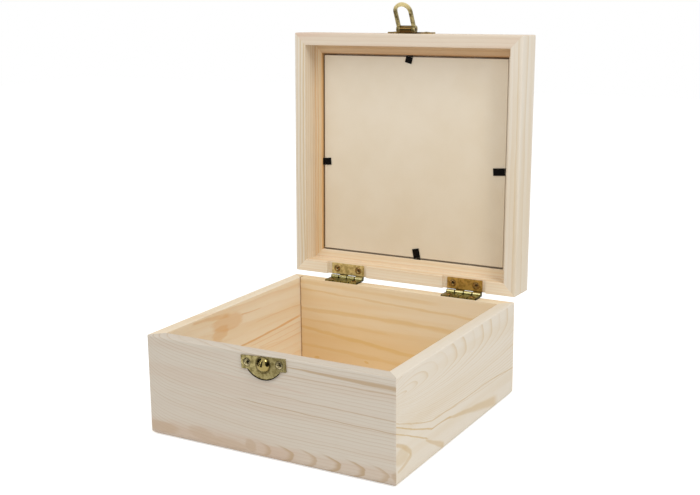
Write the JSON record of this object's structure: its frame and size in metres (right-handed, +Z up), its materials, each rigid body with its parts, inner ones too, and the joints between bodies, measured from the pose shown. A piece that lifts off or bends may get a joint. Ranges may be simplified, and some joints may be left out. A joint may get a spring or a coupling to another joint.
{
  "type": "hinged wooden display box",
  "caption": "Square pine box with mitred corners and a hinged lid that is a glazed picture frame, brass butt hinges and a brass hasp over a domed catch.",
  "frame": {"origin": "the middle of the base's underside", "axes": "+Z up, +X to the right seen from the front, the front wall with the catch faces -Y; modelled with the lid open as pictured"},
  "size_m": [0.16, 0.1905, 0.2422],
  "materials": {
    "pine": "bare sanded pine with visible grain",
    "bottom_board": "bare thin plywood",
    "backing_board": "plain matt thin board",
    "glass": "clear, polished",
    "brass": "brass-plated steel, satin with light tarnish",
    "point_steel": "black spring steel"
  },
  "bodies": {
    "base": {"front_wall": "pine", "back_wall": "pine", "left_wall": "pine", "right_wall": "pine", "bottom_panel": "bottom_board", "catch_plate": "brass", "catch_screws": "brass", "base_hinge_leaf_left": "brass", "base_hinge_leaf_right": "brass", "base_hinge_screws": "brass", "hinge_pin_left": "brass", "hinge_pin_right": "brass"},
    "lid": {"lid_front_board": "pine", "lid_back_board": "pine", "lid_left_board": "pine", "lid_right_board": "pine", "frame_rail_front": "pine", "frame_rail_back": "pine", "frame_rail_left": "pine", "frame_rail_right": "pine", "glass_pane": "glass", "backing_panel": "backing_board", "lid_hinge_leaf_left": "brass", "lid_hinge_leaf_right": "brass", "lid_hinge_screws": "brass", "hasp_plate": "brass", "hasp_pin": "brass", "hasp_screws": "brass", "point_shanks": "point_steel"},
    "hasp_loop": {"hasp_loop": "brass"},
    "point_tongue_front": {"point_tongue_front": "point_steel"},
    "point_tongue_back": {"point_tongue_back": "point_steel"},
    "point_tongue_left": {"point_tongue_left": "point_steel"},
    "point_tongue_right": {"point_tongue_right": "point_steel"}
  },
  "joints": [
    {"name": "lid_hinge", "type": "hinge", "parent": "base", "child": "lid", "pos_m": [0, 0.0814, 0.0614], "axis": [1, 0, 0], "range_deg": [0, 91.5]},
    {"name": "hasp_swing", "type": "hinge", "parent": "lid", "child": "hasp_loop", "pos_m": [0, 0.09009, 0.22538], "axis": [1, 0, 0], "range_deg": [-117.5, 62.5]},
    {"name": "point_front_bend", "type": "hinge", "parent": "lid", "child": "point_tongue_front", "pos_m": [-0.0019, 0.09779, 0.20771], "axis": [-0.9659, 0.0068, 0.2587], "range_deg": [0, 85]},
    {"name": "point_back_bend", "type": "hinge", "parent": "lid", "child": "point_tongue_back", "pos_m": [0.00526, 0.09437, 0.07719], "axis": [0.9781, 0.0054, 0.2078], "range_deg": [0, 85]},
    {"name": "point_left_bend", "type": "hinge", "parent": "lid", "child": "point_tongue_left", "pos_m": [-0.06525, 0.09592, 0.13663], "axis": [0.0698, -0.0261, -0.9972], "range_deg": [0, 85]},
    {"name": "point_right_bend", "type": "hinge", "parent": "lid", "child": "point_tongue_right", "pos_m": [0.06525, 0.09596, 0.13817], "axis": [-0.0698, 0.0261, 0.9972], "range_deg": [0, 85]}
  ]
}
